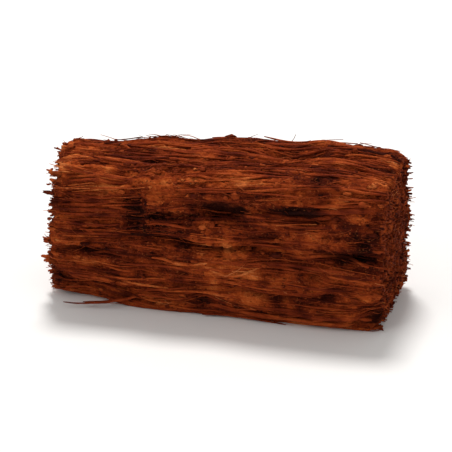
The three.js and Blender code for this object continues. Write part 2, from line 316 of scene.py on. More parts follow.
def place(x, way, out, soft=True):
    """Points on the side at x along the grain and way round it, so far out from the surface."""
    angle = angle_of(way)
    r = look_up(_soft if soft else _grid, x, angle)
    y, z = r * np.cos(angle), r * np.sin(angle) + middle(x)
    ny, nz = outward(angle)
    return np.stack([x, y + out * ny, z + out * nz], -1)


def outward(angle):
    """The direction straight out of the rounded oblong section."""
    y = np.sign(np.cos(angle)) * np.abs(np.cos(angle)) ** 4 / (DEPTH / 2) ** 5
    z = np.sign(np.sin(angle)) * np.abs(np.sin(angle)) ** 4 / (HEIGHT / 2) ** 5
    n = np.hypot(y, z)
    return y / n, z / n


# how much pith lies over the fibres, from 0 to 1, by place
def pith_cover(x, way):
    turn = way / AROUND
    a = noise2(turn * 7, x / 4.2 + 3, 7, 61) + 0.55 * noise2(turn * 16, x / 2.0, 16, 62) + 0.3 * noise2(turn * 34, x / 0.9, 34, 63)
    return step(-0.15, 0.55, a - 0.12)


# lighter and darker places: streaks along the grain, and a few soft patches on the front; the darker patches lie on the
# clefts and at the right end, and are painted shade there
TONE_AND_SHADE_PATCHES = [  # x, z, reach along, reach up, how light
    (9.0, 8.35, 1.0, 0.38, 1.4),
    (6.4, 6.65, 3.4, 0.8, 0.8),
    (-0.9, 2.9, 4.2, 1.1, 0.35),
    (0.7, 4.2, 1.8, 0.55, 0.45),
    (-8.5, 9.2, 2.8, 1.3, 0.35),
    (-10.4, 9.5, 1.1, 0.8, 0.9),
    (3.0, 9.6, 5.0, 0.6, 0.5),
    (-8.4, 7.4, 1.5, 1.6, 0.4),
    (-10.0, 6.4, 0.9, 0.7, 0.6),
    (6.9, 3.35, 0.7, 0.5, 1.1),
    (11.3, 2.2, 1.7, 2.6, -0.7),
    (11.6, 6.9, 1.6, 2.6, -0.4),
    (-3.6, 6.3, 2.9, 1.6, -1.0),
    (0.8, 7.7, 3.6, 1.1, -1.2),
    (5.3, 8.25, 4.4, 0.7, -2.1),
    (-5.3, 7.1, 1.2, 2.3, -1.0),
    (-1.4, 5.25, 6.2, 0.6, -1.1),
    (8.4, 5.7, 3.4, 0.8, -1.3),
    (3.6, 2.3, 3.6, 0.5, -0.5),
    (-10.3, 1.8, 1.3, 0.9, -0.9),
    (-0.8, 1.3, 1.6, 0.8, -0.6),
]


def grain_turn(x, y, z, way):
    """The share of the way round at which the grain through a point crosses the middle of the chip."""
    facing = 2 * step(-0.75, 0.75, y / np.hypot(y, z - middle(x))) - 1
    return (way - facing * rise(z) * x) / AROUND


def tone_and_shade_at(p, hold=None):
    """How light the husk is at points (n, 3), with painted shade in it: the darker patches on the clefts and the right
    end, and a darker top. hold is how much the patches take hold, where it isn't left to the grain.
    """
    x, y, z = p[:, 0], p[:, 1], p[:, 2]
    turn = grain_turn(x, y, z, way_of(np.arctan2(z - middle(x), y)))
    drift = 0.4 * noise2(turn * 8, x / 6.0, 8, 64)
    out = 0.7 * noise2(turn * 21 + drift, x / 5.5, 21, 65) + 0.65 * noise2(turn * 43 + 2 * drift, x / 3.2, 43, 66)
    out = out + 0.45 * noise2(turn * 90 + 3 * drift, x / 2.4, 90, 68) + 0.35 * noise2(turn * 17, x / 1.7, 17, 67)
    out = out + 0.62 * noise2(turn * 39, x / 0.8, 39, 74) + 0.5 * noise2(turn * 73, x / 0.45, 73, 75)
    # painted shade: the top is made darker, to hold back the stronger light it gets
    out = out - 0.3 * step(0.9, 1.0, z / HEIGHT)
    if hold is None:
        hold = 1 + 0.9 * noise2(turn * 101 + 3 * drift, x / 2.2, 101, 69) + 0.5 * noise2(turn * 57, x / 0.9, 57, 70)
    front = step(0.25, 0.4, -y / DEPTH) * hold
    for cx, cz, rx, rz, amount in TONE_AND_SHADE_PATCHES:
        slope = float(rise(cz))
        out = out + front * amount * bell((x - cx) / rx) * bell((z - cz - slope * (x - cx)) / rz)
    return out


# ---------------------------------------------------------------- meshes
def mesh_object(name, verts, faces, uvs=None, attributes=None, smooth=True):
    """A mesh from points in block millimetres. faces is a list of (n, 3) or (n, 4) index arrays, and uvs are by corner."""
    me = bpy.data.meshes.new(name)
    co = (verts - OFFSET) * 1e-3
    loops = np.concatenate([f.ravel() for f in faces])
    sizes = np.concatenate([np.full(len(f), f.shape[1]) for f in faces])
    starts = np.concatenate([[0], np.cumsum(sizes)[:-1]])
    me.vertices.add(len(co))
    me.vertices.foreach_set("co", co.astype(np.float32).ravel())
    me.loops.add(len(loops))
    me.loops.foreach_set("vertex_index", loops.astype(np.int32))
    me.polygons.add(len(sizes))
    me.polygons.foreach_set("loop_start", starts.astype(np.int32))
    me.polygons.foreach_set("loop_total", sizes.astype(np.int32))
    if uvs is not None:
        layer = me.uv_layers.new(name="OFBake")
        layer.data.foreach_set("uv", np.clip(uvs, 0, 1).astype(np.float32).ravel())
    for key, values in (attributes or {}).items():
        a = me.attributes.new(key, "FLOAT", "POINT")
        a.data.foreach_set("value", values.astype(np.float32))
    me.update(calc_edges=True)
    if smooth:
        me.polygons.foreach_set("use_smooth", np.ones(len(sizes), bool))
    me.validate()
    ob = bpy.data.objects.new(name, me)
    bpy.context.scene.collection.objects.link(ob)
    return ob


class Bundle:
    """Many closed tubes in one mesh, each with its own strip of the UV map."""

    def __init__(self):
        self.v, self.quads, self.tris, self.tone, self.tip, self.recess_shade = [], [], [], [], [], []
        self.uq, self.ut, self.strips, self.low = [], [], [], []
        self.count = 0

    def tube(self, points, radii, sides, tone, recess_shade=None, flat=None, twist=0.0, seed=0, ridge=0.0, blunt=(0.35, 0.35), streaked=True):
        points = np.array(points, float)
        n = len(points)
        radii = np.broadcast_to(np.asarray(radii, float), (n,))
        points[:, 2] = np.maximum(points[:, 2], FLOOR + 0.7 * radii)
        tangent = np.gradient(points, axis=0)
        tangent /= np.linalg.norm(tangent, axis=1)[:, None] + 1e-12
        # frames that don't spin
        normal = np.zeros_like(points)
        ref = np.array([0.0, 0.0, 1.0]) if abs(tangent[0, 2]) < 0.8 else np.array([0.0, 1.0, 0.0])
        last = ref - tangent[0] * (ref @ tangent[0])
        last /= np.linalg.norm(last)
        for i in range(n):
            last = last - tangent[i] * (last @ tangent[i])
            last = last / (np.linalg.norm(last) + 1e-12)
            normal[i] = last
        other = np.cross(tangent, normal)
        k = np.arange(sides)
        a = 2 * math.pi * k / sides
        spin = twist * np.linspace(0, 1, n)
        A = a[None, :] + spin[:, None]
        bumpy = 1 + ridge * (hash01(k[None, :] + 17 * seed, (np.arange(n) // 2)[:, None], 5) - 0.5)
        shape_n, shape_b = 1.0, 1.0
        if flat is not None:
            shape_n = flat
        ring = (
            points[:, None, :]
            + (radii[:, None] * np.cos(A) * shape_n * bumpy)[..., None] * normal[:, None, :]
            + (radii[:, None] * np.sin(A) * shape_b * bumpy)[..., None] * other[:, None, :]
        )
        start = points[0] - tangent[0] * radii[0] * blunt[0]
        end = points[-1] + tangent[-1] * radii[-1] * blunt[1]
        base = self.count
        self.v.append(ring.reshape(-1, 3))
        self.v.append(np.stack([start, end]))
        total = n * sides + 2
        i = np.arange(n - 1)[:, None]
        j = np.arange(sides)[None, :]
        jn = (j + 1) % sides
        q = np.stack([base + i * sides + j, base + (i + 1) * sides + j, base + (i + 1) * sides + jn, base + i * sides + jn], -1)
        # outward facing: around goes from normal to other, along the tangent
        self.quads.append(q.reshape(-1, 4)[:, ::-1])
        s0, e0 = base + n * sides, base + n * sides + 1
        jj = np.arange(sides)
        jjn = (jj + 1) % sides
        t0 = np.stack([np.full(sides, s0), base + jjn, base + jj], -1)
        t1 = np.stack([np.full(sides, e0), base + (n - 1) * sides + jj, base + (n - 1) * sides + jjn], -1)
        self.tris.append(np.concatenate([t0, t1]))
        # strip of the map: across is round the tube, along is its length
        length = np.concatenate([[0], np.cumsum(np.linalg.norm(np.diff(points, axis=0), axis=1))])
        wide = 2 * math.pi * float(radii.mean())
        strip = len(self.strips)
        self.strips.append((wide, length[-1] + 2 * wide * 0.2, strip))
        du = wide / sides
        l0 = wide * 0.2
        uq = np.zeros((n - 1, sides, 4, 2))
        uq[..., 0, 0] = uq[..., 1, 0] = j * du
        uq[..., 2, 0] = uq[..., 3, 0] = (j + 1) * du
        uq[..., 0, 1] = uq[..., 3, 1] = l0 + length[:-1, None]
        uq[..., 1, 1] = uq[..., 2, 1] = l0 + length[1:, None]
        uq = uq.reshape(-1, 4, 2)[:, ::-1]
        self.uq.append((uq, strip))
        ut = np.zeros((2 * sides, 3, 2))
        ut[:sides, 0] = np.stack([(jj + 0.5) * du, np.zeros(sides)], -1)
        ut[:sides, 1] = np.stack([(jj + 1) * du, np.full(sides, l0)], -1)
        ut[:sides, 2] = np.stack([jj * du, np.full(sides, l0)], -1)
        top = l0 + length[-1]
        ut[sides:, 0] = np.stack([(jj + 0.5) * du, np.full(sides, top + l0)], -1)
        ut[sides:, 1] = np.stack([jj * du, np.full(sides, top)], -1)
        ut[sides:, 2] = np.stack([(jj + 1) * du, np.full(sides, top)], -1)
        self.ut.append((ut, strip))
        # the fibre's tone, with the painted shade of the darker patches and top
        tone_and_shade_here = tone + 0.24 * tone_and_shade_at(points, 0.35 + 1.3 * float(hash01(seed, 3, 9))) if streaked else np.full(n, float(tone))
        self.tone.append(np.concatenate([np.repeat(tone_and_shade_here, sides), [tone_and_shade_here[0], tone_and_shade_here[-1]]]))
        share = np.linspace(0, 1, n)
        self.tip.append(np.concatenate([np.repeat(share, sides), [0.0, 1.0]]))
        # painted shade in recesses, by point along the tube
        g = np.zeros(n) if recess_shade is None else np.broadcast_to(recess_shade, (n,))
        self.recess_shade.append(np.concatenate([np.repeat(g, sides), [g[0], g[-1]]]))
        self.low.append(np.full(total, float(hash01(strip, 4, 12))))
        self.count += total

    def lump(self, verts, tris, tone, recess_shade=0.0):
        """A small closed lump: its points and triangles."""
        base = self.count
        self.v.append(verts)
        self.tris.append(tris + base)
        strip = len(self.strips)
        size = float(np.ptp(verts, axis=0).max()) + 1e-6
        self.strips.append((size, size, strip))
        lo = verts.min(0)
        flat = (verts - lo)[:, :2]
        self.ut.append((flat[tris], strip))
        self.tone.append(np.full(len(verts), tone))
        self.tip.append(np.full(len(verts), 0.5))
        self.recess_shade.append(np.full(len(verts), recess_shade))
        self.low.append(np.full(len(verts), float(hash01(strip, 4, 12))))
        self.count += len(verts)

    def build(self, name):
        # shelves of strips in a square map
        gap = 0.06
        order = sorted(self.strips, key=lambda s: -s[1])
        area = sum((w + gap) * (h + gap) for w, h, _ in order)
        side = math.sqrt(area) * 1.04
        while True:
            x = y = shelf = 0.0
            spot = {}
            for w, h, k in order:
                if x + w + gap > side:
                    x, y, shelf = 0.0, y + shelf, 0.0
                spot[k] = (x + gap / 2, y + gap / 2)
                x += w + gap
                shelf = max(shelf, h + gap)
            if y + shelf <= side:
                break
            side *= 1.03
        uvs = []
        for rows in (self.uq, self.ut):
            for uv, k in rows:
                uvs.append(((uv + np.array(spot[k])) / side).reshape(-1, 2))
        v = np.concatenate(self.v)
        v[:, 2] = np.maximum(v[:, 2], FLOOR + 0.003 + 0.022 * np.concatenate(self.low))
        faces = []
        if self.quads:
            faces.append(np.concatenate(self.quads))
        faces.append(np.concatenate(self.tris))
        if self.quads:
            # uvs come in the same order as the faces: all quads, then all triangles
            uq = [(((uv + np.array(spot[k])) / side).reshape(-1, 2)) for uv, k in self.uq]
            ut = [(((uv + np.array(spot[k])) / side).reshape(-1, 2)) for uv, k in self.ut]
            uvs = uq + ut
        return mesh_object(
            name,
            v,
            faces,
            np.concatenate(uvs),
            {"tone": np.concatenate(self.tone), "tip": np.concatenate(self.tip), "recess_shade": np.concatenate(self.recess_shade)},
        )


# ---------------------------------------------------------------- camera, light and floor
scene = bpy.context.scene
AZ, EL = math.radians(13), math.radians(26)
lo, hi = cad_box
aim = (lo + hi) / 2 + Vector((0, 0, -0.0004))
cam_data = bpy.data.cameras.new("camera")
cam_data.lens, cam_data.sensor_width = 400, 36
cam_data.clip_start, cam_data.clip_end = 0.002, 20
cam = bpy.data.objects.new("camera", cam_data)
scene.collection.objects.link(cam)
distance = 0.3175
back = Vector((math.sin(AZ) * math.cos(EL), -math.cos(AZ) * math.cos(EL), math.sin(EL)))
cam.location = aim + back * distance
cam.rotation_mode = "QUATERNION"
cam.rotation_quaternion = back.to_track_quat("Z", "Y")
scene.camera = cam

scene.view_settings.view_transform = "Standard"
scene.view_settings.look = "None"
scene.view_settings.exposure = 0.0
scene.view_settings.gamma = 1.0

world = bpy.data.worlds.new("studio")
scene.world = world
world.use_nodes = True
wb = world.node_tree.nodes["Background"]
wb.inputs["Color"].default_value = (1.0, 0.982, 0.962, 1)
wb.inputs["Strength"].default_value = 0.52


def area_light(name, at, to, size, power, color):
    data = bpy.data.lights.new(name, "AREA")
    data.shape = "DISK"
    data.size = size
    data.energy = power
    data.color = color
    ob = bpy.data.objects.new(name, data)
    scene.collection.objects.link(ob)
    ob.location = at
    ob.rotation_mode = "QUATERNION"
    ob.rotation_quaternion = (Vector(at) - Vector(to)).to_track_quat("Z", "Y")
    return ob


area_light("key", (-0.04, 0.13, 0.34), (0, 0, 0), 0.095, 0.98, (1.0, 0.985, 0.965))
area_light("front", (-0.42, -0.70, 0.62), (0, 0, 0.004), 0.5, 1.45, (1.0, 0.985, 0.965))

floor_mesh = bpy.data.meshes.new("floor")
floor_mesh.from_pydata([(-3, -3, 0), (3, -3, 0), (3, 3, 0), (-3, 3, 0)], [], [(0, 1, 2, 3)])
floor = bpy.data.objects.new("floor", floor_mesh)
floor.location = (0, 0, -0.00001)
scene.collection.objects.link(floor)
fm = bpy.data.materials.new("floor")
fm.use_nodes = True
fb = fm.node_tree.nodes["Principled BSDF"]
fb.inputs["Base Color"].default_value = (0.9, 0.893, 0.885, 1)
fb.inputs["Roughness"].default_value = 0.75
fb.inputs["Specular IOR Level"].default_value = 0.2
floor_mesh.materials.append(fm)


# ---------------------------------------------------------------- materials
class Nodes:
    def __init__(self, name):
        self.mat = bpy.data.materials.new(name)
        self.mat.use_nodes = True
        self.tree = self.mat.node_tree
        self.bsdf = self.tree.nodes["Principled BSDF"]
        self.coords = self.new("ShaderNodeTexCoord")

    def new(self, kind, **values):
        n = self.tree.nodes.new(kind)
        for k, v in values.items():
            if hasattr(n, k):
                setattr(n, k, v)
            else:
                n.inputs[k].default_value = v
        return n

    def link(self, a, b):
        self.tree.links.new(a, b)

    def attribute(self, name):
        return self.new("ShaderNodeAttribute", attribute_name=name).outputs["Fac"]

    def scaled(self, scale, source=None, offset=(0, 0, 0)):
        """Object coordinates in metres, stretched by scale."""
        m = self.new("ShaderNodeMapping")
        m.inputs["Scale"].default_value = scale
        m.inputs["Location"].default_value = offset
        self.link(source or self.coords.outputs["Object"], m.inputs["Vector"])
        return m.outputs["Vector"]

    def noise(self, vector, scale=1.0, detail=3.0, roughness=0.6, distortion=0.0):
        n = self.new("ShaderNodeTexNoise")
        n.inputs["Scale"].default_value = scale
        n.inputs["Detail"].default_value = detail
        n.inputs["Roughness"].default_value = roughness
        n.inputs["Distortion"].default_value = distortion
        self.link(vector, n.inputs["Vector"])
        return n.outputs["Fac"]

    def math(self, op, a, b=None, c=None, clamp=False):
        n = self.new("ShaderNodeMath", operation=op, use_clamp=clamp)
        for k, v in enumerate((a, b, c)):
            if v is None:
                continue
            if isinstance(v, (int, float)):
                n.inputs[k].default_value = v
            else:
                self.link(v, n.inputs[k])
        return n.outputs[0]

    def ramp(self, fac, stops, interpolation="LINEAR"):
        n = self.new("ShaderNodeValToRGB")
        n.color_ramp.interpolation = interpolation
        while len(n.color_ramp.elements) < len(stops):
            n.color_ramp.elements.new(0.5)
        for e, (at, color) in zip(n.color_ramp.elements, stops):
            e.position = at
            e.color = (*color, 1)
        self.link(fac, n.inputs["Fac"])
        return n.outputs["Color"]

    def mix(self, fac, a, b, blend="MIX"):
        n = self.new("ShaderNodeMix", data_type="RGBA", blend_type=blend, clamp_result=True)
        for name, v in (("Factor", fac), ("A", a), ("B", b)):
            socket = [s for s in n.inputs if s.name == name and s.enabled][0]
            if isinstance(v, (int, float)):
                socket.default_value = v
            elif isinstance(v, tuple):
                socket.default_value = (*v, 1)
            else:
                self.link(v, socket)
        return [s for s in n.outputs if s.enabled][0]

    def bump(self, height, strength, distance, normal=None):
        n = self.new("ShaderNodeBump")
        n.inputs["Strength"].default_value = strength
        n.inputs["Distance"].default_value = distance
        self.link(height, n.inputs["Height"])
        if normal is not None:
            self.link(normal, n.inputs["Normal"])
        return n.outputs["Normal"]


def srgb(*c):
    return tuple((v / 255 / 12.92) if v / 255 <= 0.04045 else ((v / 255 + 0.055) / 1.055) ** 2.4 for v in c)


def pith_material():
    m = Nodes("husk_pith")
    grains = m.noise(m.scaled((2400, 2900, 2900)), 1.0, 4.0, 0.65)
    speck = m.noise(m.scaled((6500, 8500, 8500)), 1.0, 3.0, 0.7)
    streaks = m.noise(m.scaled((210, 2100, 2100)), 1.0, 4.0, 0.62, 0.25)
    thread = m.noise(m.scaled((420, 6400, 6400)), 1.0, 3.0, 0.6, 0.1)
    # the pith's tone attribute carries painted shade from the darker patches and the top
    tone_and_shade, deep = m.attribute("tone_and_shade"), m.attribute("deep")
    tone = m.math("MULTIPLY_ADD", grains, 0.42, m.math("MULTIPLY_ADD", streaks, 0.5, m.math("MULTIPLY", speck, 0.3)))
    tone = m.math("MULTIPLY_ADD", thread, 0.34, m.math("MULTIPLY_ADD", tone_and_shade, 0.66, tone))
    tone = m.math("SUBTRACT", tone, 0.62)
    color = m.ramp(
        tone,
        [(0.08, srgb(33, 7, 4)), (0.3, srgb(84, 26, 10)), (0.5, srgb(130, 49, 18)), (0.7, srgb(169, 74, 29)), (0.92, srgb(208, 112, 54))],
    )
    flecks = m.math("MULTIPLY", m.math("SUBTRACT", speck, 0.57, clamp=True), 7.0, clamp=True)
    color = m.mix(m.math("MULTIPLY", flecks, 0.5), color, srgb(186, 104, 56))
    # painted shade: small dark pores, in the colour only
    pore_shade = m.math("MULTIPLY", m.math("SUBTRACT", 0.42, m.noise(m.scaled((3600, 5200, 5200), offset=(3.1, 1.7, 0.4)), 1.0, 2.0, 0.6), clamp=True), 9.0, clamp=True)
    color = m.mix(m.math("MULTIPLY", pore_shade, 0.75), color, srgb(34, 9, 5))
    # painted shade in the clefts and hollows
    color = m.mix(m.math("MULTIPLY", deep, 0.92, clamp=True), color, srgb(24, 6, 4))
    m.link(color, m.bsdf.inputs["Base Color"])
    m.link(m.math("MULTIPLY_ADD", grains, 0.16, 0.8), m.bsdf.inputs["Roughness"])
    m.bsdf.inputs["Specular IOR Level"].default_value = 0.04
    n1 = m.bump(grains, 0.9, 0.00022)
    n2 = m.bump(thread, 0.7, 0.0001, n1)
    n3 = m.bump(speck, 0.9, 0.0001, n2)
    m.link(n3, m.bsdf.inputs["Normal"])
    return m.mat


def fibre_material(name, stops, lift=0.0):
    m = Nodes(name)
    tone, tip, recess_shade = m.attribute("tone"), m.attribute("tip"), m.attribute("recess_shade")
    along = m.noise(m.scaled((360, 2300, 2300)), 1.0, 4.0, 0.6, 0.2)
    fine = m.noise(m.scaled((1100, 9500, 9500)), 1.0, 3.0, 0.6)
    crumbs = m.noise(m.scaled((3300, 4000, 4000)), 1.0, 3.0, 0.7)
    mixed = m.math("MULTIPLY_ADD", tone, 0.68, m.math("MULTIPLY_ADD", along, 0.56, m.math("MULTIPLY", fine, 0.46)))
    mixed = m.math("SUBTRACT", mixed, 0.35 - lift)
    color = m.ramp(mixed, stops)
    # pith still sticks to the fibre in places
    stuck = m.math("MULTIPLY", m.math("SUBTRACT", crumbs, 0.5, clamp=True), 3.4, clamp=True)
    color = m.mix(m.math("MULTIPLY", stuck, 0.6), color, srgb(92, 34, 14))
    # painted shade: darker in the clefts and where a fibre sinks into the pith
    color = m.mix(m.math("MULTIPLY", recess_shade, 0.88, clamp=True), color, srgb(28, 7, 4))
    m.link(color, m.bsdf.inputs["Base Color"])
    m.link(m.math("MULTIPLY_ADD", crumbs, 0.3, 0.62), m.bsdf.inputs["Roughness"])
    m.bsdf.inputs["Specular IOR Level"].default_value = 0.06
    n1 = m.bump(fine, 0.9, 0.00014)
    n2 = m.bump(crumbs, 0.9, 0.00018, n1)
    n3 = m.bump(m.noise(m.scaled((11000, 14000, 14000)), 1.0, 2.0, 0.6), 0.8, 0.00006, n2)
    m.link(n3, m.bsdf.inputs["Normal"])
    return m.mat


pith_mat = pith_material()
fibre_mat = fibre_material(
    "husk_fibre",
    [(0.08, srgb(38, 8, 4)), (0.32, srgb(93, 29, 12)), (0.54, srgb(143, 55, 22)), (0.76, srgb(184, 83, 35)), (0.96, srgb(222, 128, 68))],
)
fuzz_mat = fibre_material(
    "husk_fuzz",
    [(0.12, srgb(94, 33, 13)), (0.4, srgb(146, 60, 27)), (0.7, srgb(184, 88, 44)), (0.95, srgb(216, 130, 78))],
    0.02,
)
crumb_mat = fibre_material(
    "husk_crumb",
    [(0.08, srgb(42, 9, 5)), (0.32, srgb(95, 31, 12)), (0.54, srgb(143, 57, 22)), (0.76, srgb(182, 84, 36)), (0.94, srgb(216, 121, 62))],
)

rng = np.random.default_rng(20417)


def smooth_walk(n, amount, knots, generator):
    """A gentle random line of n values."""
    k = max(2, knots)
    at = np.linspace(0, 1, k)
    values = generator.normal(0, amount, k)
    t = np.linspace(0, 1, n)
    i = np.minimum((t * (k - 1)).astype(int), k - 2)
    u = ease(t * (k - 1) - i)
    return values[i] * (1 - u) + values[i + 1] * u


# ---------------------------------------------------------------- the pith body
def body():
    around, along, rings = 420, 260, 40
    ang = -math.pi + 2 * math.pi * np.arange(around) / around
    xs = np.linspace(-LENGTH / 2, LENGTH / 2, along)
    r = side_radius(xs[:, None], ang[None, :])
    way = way_of(ang)
    cover = pith_cover(xs[:, None], way[None, :])
    inset = 0.12 - 0.09 * cover
    r = r - inset
    y, z = r * np.cos(ang), r * np.sin(ang) + middle(xs)[:, None]
    X = np.repeat(xs[:, None], around, 1)
    near_l, near_r = step(3, 0, X + LENGTH / 2), step(3, 0, LENGTH / 2 - X)
    X = X + near_l * (cut_end(-1, y, z) + LENGTH / 2 + 0.16) + near_r * (cut_end(1, y, z) - LENGTH / 2 - 0.16)
    side = np.stack([X, y, z], -1)
    verts, faces = [side.reshape(-1, 3)], []
    i, j = np.arange(along - 1)[:, None], np.arange(around)[None, :]
    jn = (j + 1) % around
    faces.append(np.stack([i * around + j, i * around + jn, (i + 1) * around + jn, (i + 1) * around + j], -1).reshape(-1, 4))
    count = along * around
    tris = []
    for end, sign in ((0, -1), (along - 1, 1)):
        rim = side[end]
        centre = np.array([0, rim[:, 1].mean(), rim[:, 2].mean()])
        last = end * around + np.arange(around)
        for k in range(1, rings):
            share = 1 - k / rings
            yy = centre[1] + (rim[:, 1] - centre[1]) * share
            zz = centre[2] + (rim[:, 2] - centre[2]) * share
            xx = cut_end(sign, yy, zz) - sign * 0.16
            verts.append(np.stack([xx, yy, zz], -1))
            now = count + np.arange(around)
            count += around
            a, b = last, np.roll(last, -1)
            c, d = np.roll(now, -1), now
            faces.append(np.stack([a, d, c, b] if sign < 0 else [a, b, c, d], -1))
            last = now
        verts.append(np.array([[cut_end(sign, centre[1], centre[2]) - sign * 0.16, centre[1], centre[2]]], float))
        tip = count
        count += 1
        a, b = last, np.roll(last, -1)
        tris.append(np.stack([a, np.full(around, tip), b] if sign < 0 else [a, b, np.full(around, tip)], -1))
    # an even skin with cells that are longer along the grain than across it
    squeeze = np.array([0.6, 1, 1])
    v = np.concatenate([np.asarray(q, float).reshape(-1, 3) for q in verts])
    rough = mesh_object("rough_body", (v - OFFSET) * squeeze + OFFSET, [np.concatenate(faces), np.concatenate(tris)])
    mod = rough.modifiers.new("even", "REMESH")
    mod.mode = "VOXEL"
    mod.voxel_size = 0.00009
    mod.use_smooth_shade = True
    bpy.context.view_layer.update()
    dg = bpy.context.evaluated_depsgraph_get()
    made = bpy.data.meshes.new_from_object(rough.evaluated_get(dg))
    bpy.data.objects.remove(rough)
    n = len(made.vertices)
    co = np.zeros(n * 3, np.float32)
    made.vertices.foreach_get("co", co)
    p = co.reshape(-1, 3).astype(float) / squeeze
    made.vertices.foreach_set("co", p.astype(np.float32).ravel())
    made.update()
    no = np.zeros(n * 3, np.float32)
    made.vertex_normals.foreach_get("vector", no)
    p = p * 1e3 + OFFSET
    nrm = no.reshape(-1, 3).astype(float)
    x, y, z = p.T
    angle = np.arctan2(z - middle(x), y)
    way = way_of(angle)
    cover = pith_cover(x, way)
    end = np.clip((np.abs(nrm[:, 0]) - 0.5) / 0.35, 0, 1) * (np.abs(x) > LENGTH / 2 - 1.2)
    under = step(-0.55, -0.9, nrm[:, 2])
    # torn grain: cords side by side along X, each with its own height, and finer threads on them
    turn = grain_turn(x, y, z, way)
    drift = 0.45 * noise2(turn * 8, x / 6.0, 8, 71)

    def cords(count, run, seed):
        w = turn * count + drift * count / 60
        k = np.floor(w)
        t = 2 * (w - k) - 1
        own = noise2(np.mod(k, count) + 0.5, x / run, 4096, seed)
        return np.sqrt(np.maximum(0, 1 - t * t)) - 0.75 + 0.8 * own

    grain = 0.09 * cords(68, 4.2, 72) + 0.045 * cords(113, 2.6, 73)
    grain = grain * (1 - 0.6 * cover) * (1 - end)
    # crumbly pith: rounded granules of three sizes with gaps between them
    stretch = np.array([0.75, 1, 1])
    a1, b1 = cells3(p * stretch / 0.6 + 5, 81)
    a2, b2 = cells3(p * stretch / 0.3 + 9, 91)
    gran = 0.1 * (0.5 - a1) + 0.07 * (0.5 - a2) - 0.06 * step(0.14, 0.0, b1 - a1)
    soft = noise3(p / 0.9 + 3, 101) * 0.06 + noise3(p / 0.42 + 3, 102) * 0.05 + noise3(p / 0.22 + 3, 103) * 0.04
    pit = -0.2 * step(0.5, 0.85, noise3(p * stretch / 0.6 + 30, 104)) - 0.13 * step(0.45, 0.8, noise3(p / 0.32 + 40, 105))
    d = grain + gran * (0.5 + 0.5 * np.maximum(cover, end)) + soft + pit * (0.6 + 0.4 * np.maximum(cover, end))
    d = d * (1 - 0.5 * under)
    q = p + nrm * d[:, None]
    q[:, 2] = np.maximum(q[:, 2], FLOOR + 0.11 + 0.03 * noise3(p / 0.7, 106) + 0.03 * noise3(p / 0.3, 111) - 0.3 * np.clip(grain + soft + gran, -0.25, 0.2))
    cleft = cleft_at(x, y, z)
    # painted shade: darker where the pith lies in a cleft or sinks below its surroundings
    deep = np.clip((0.75 + 0.35 * noise2(turn * 101 + 3 * drift, x / 1.6, 101, 107)) * step(0.12, 0.75, cleft) + np.clip(-d * 3.2 - 0.12, 0, 0.75), 0, 1)
    on_end = 0.7 * noise3(p / 1.1 + 60, 108) + 0.5 * noise3(p / 0.5 + 61, 109) + 0.4 * noise3(p / 0.26 + 62, 110) - 0.15
    # the pith's tone, with the painted shade of the darker patches and top
    tone_and_shade = np.clip(0.5 + 0.34 * (tone_and_shade_at(p) * (1 - end) + on_end * end), -0.5, 1.5)
    made.vertices.foreach_set("co", ((q - OFFSET) * 1e-3).astype(np.float32).ravel())
    for key, values in (("deep", deep), ("tone_and_shade", tone_and_shade)):
        att = made.attributes.new(key, "FLOAT", "POINT")
        att.data.foreach_set("value", values.astype(np.float32))
    made.update()
    # a map of six flat charts by place
    poly = len(made.polygons)
    loops = np.zeros(len(made.loops), np.int32)
    made.loops.foreach_get("vertex_index", loops)
    totals = np.zeros(poly, np.int32)
    made.polygons.foreach_get("loop_total", totals)
    starts = np.zeros(poly, np.int32)
    made.polygons.foreach_get("loop_start", starts)
    own = np.repeat(np.arange(poly), totals)
    centre = np.zeros((poly, 3))
    np.add.at(centre, own, p[loops])
    centre /= totals[:, None]
    cx, cy, cz = centre.T
    ex = (np.abs(cx) - (LENGTH / 2 - 0.35)) / 0.35 > 0
    rr = np.maximum(np.abs(cy) / (DEPTH / 2), np.abs(cz - middle(cx)) / middle(cx))
    is_end = ex & (rr < 0.93) | (np.abs(cx) > LENGTH / 2 - 0.22)
    chart = np.where(is_end, np.where(cx < 0, 4, 5), np.where(np.abs(cy) / (DEPTH / 2) > np.abs(cz - middle(cx)) / middle(cx), np.where(cy < 0, 0, 1), np.where(cz > middle(cx), 2, 3)))
    at = q[loops]
    lc = chart[own]
    W = 34.0
    u = np.select(
        [lc == 0, lc == 1, lc == 2, lc == 3, lc == 4, lc == 5],
        [at[:, 0] + 11.6, at[:, 0] + 11.6, at[:, 0] + 11.6, at[:, 0] + 11.6, at[:, 1] + 28.6, at[:, 1] + 28.6],
    )
    v = np.select(
        [lc == 0, lc == 1, lc == 2, lc == 3, lc == 4, lc == 5],
        [at[:, 2] + 0.2, at[:, 2] + 11.0, at[:, 1] + 26.4, 0.0 * at[:, 1], at[:, 2] + 0.2, at[:, 2] + 11.4],
    )
    # the underside goes upright beside the ends
    low = lc == 3
    u = np.where(low, at[:, 0] * 0.42 + 28.6, u)
    v = np.where(low, at[:, 1] * 0.8 + 27.0, v)
    layer = made.uv_layers.new(name="OFBake")
    layer.data.foreach_set("uv", np.clip(np.stack([u, v], -1) / W, 0, 1).astype(np.float32).ravel())
    made.polygons.foreach_set("use_smooth", np.ones(poly, bool))
    ob = bpy.data.objects.new("husk_pith", made)
    scene.collection.objects.link(ob)
    return ob


pith = body()
pith.data.materials.clear()
pith.data.materials.append(pith_mat)
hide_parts("husk_chip")


# ---------------------------------------------------------------- fibres along the sides
def end_x(sign, y, z):
    return float(cut_end(sign, y, z))


